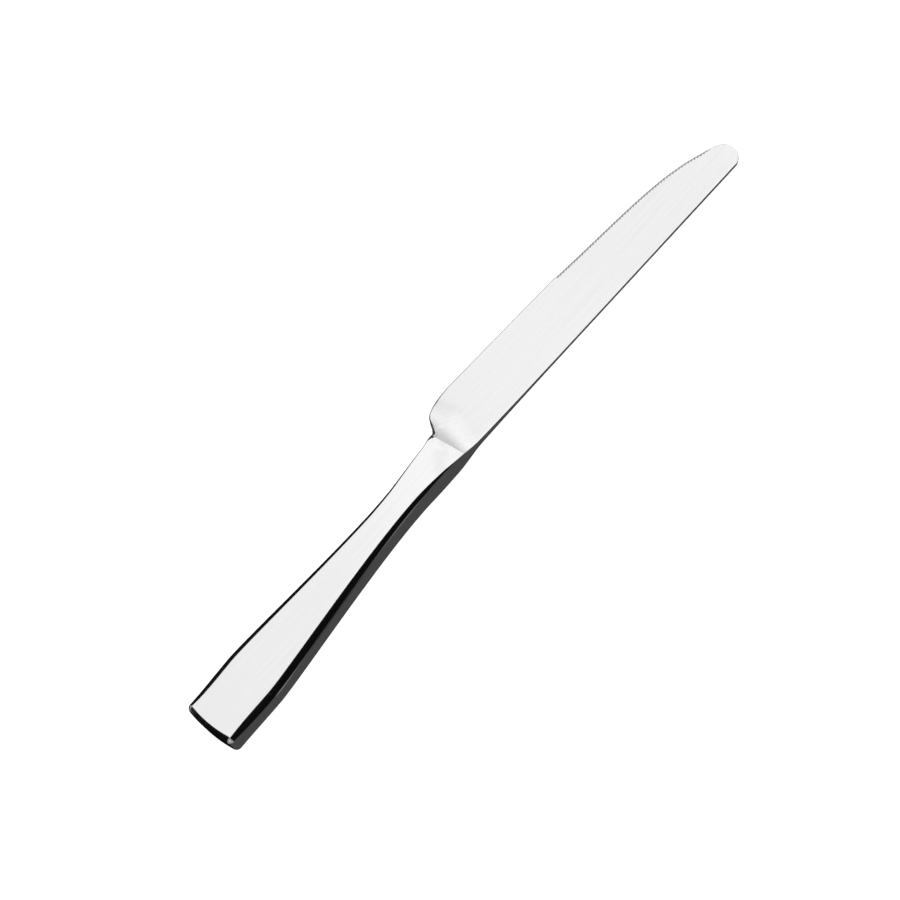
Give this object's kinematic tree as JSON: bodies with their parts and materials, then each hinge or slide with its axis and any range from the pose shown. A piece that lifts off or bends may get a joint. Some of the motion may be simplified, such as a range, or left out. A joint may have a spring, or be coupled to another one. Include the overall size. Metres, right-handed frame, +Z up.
{
  "type": "dessert knife",
  "caption": "Stainless dessert knife with a flared hollow handle, a forged bolster ramp, a rounded tip and fine teeth along the front half of its edge.",
  "frame": {"origin": "middle of the knife's bounding box in plan, on the surface it lies on", "axes": "+X from the butt to the tip, +Y towards the cutting edge, +Z up out of the obverse face"},
  "size_m": [0.21, 0.027, 0.0074],
  "materials": {
    "blade_steel": "polished",
    "handle_steel": "polished",
    "braze": "polished",
    "cement": "matte"
  },
  "bodies": {
    "root": {"blade": "blade_steel", "handle_obverse_shell": "handle_steel", "handle_reverse_shell": "handle_steel", "seam_braze": "braze", "bolster_braze": "braze", "tang_cement": "cement"}
  },
  "joints": []
}
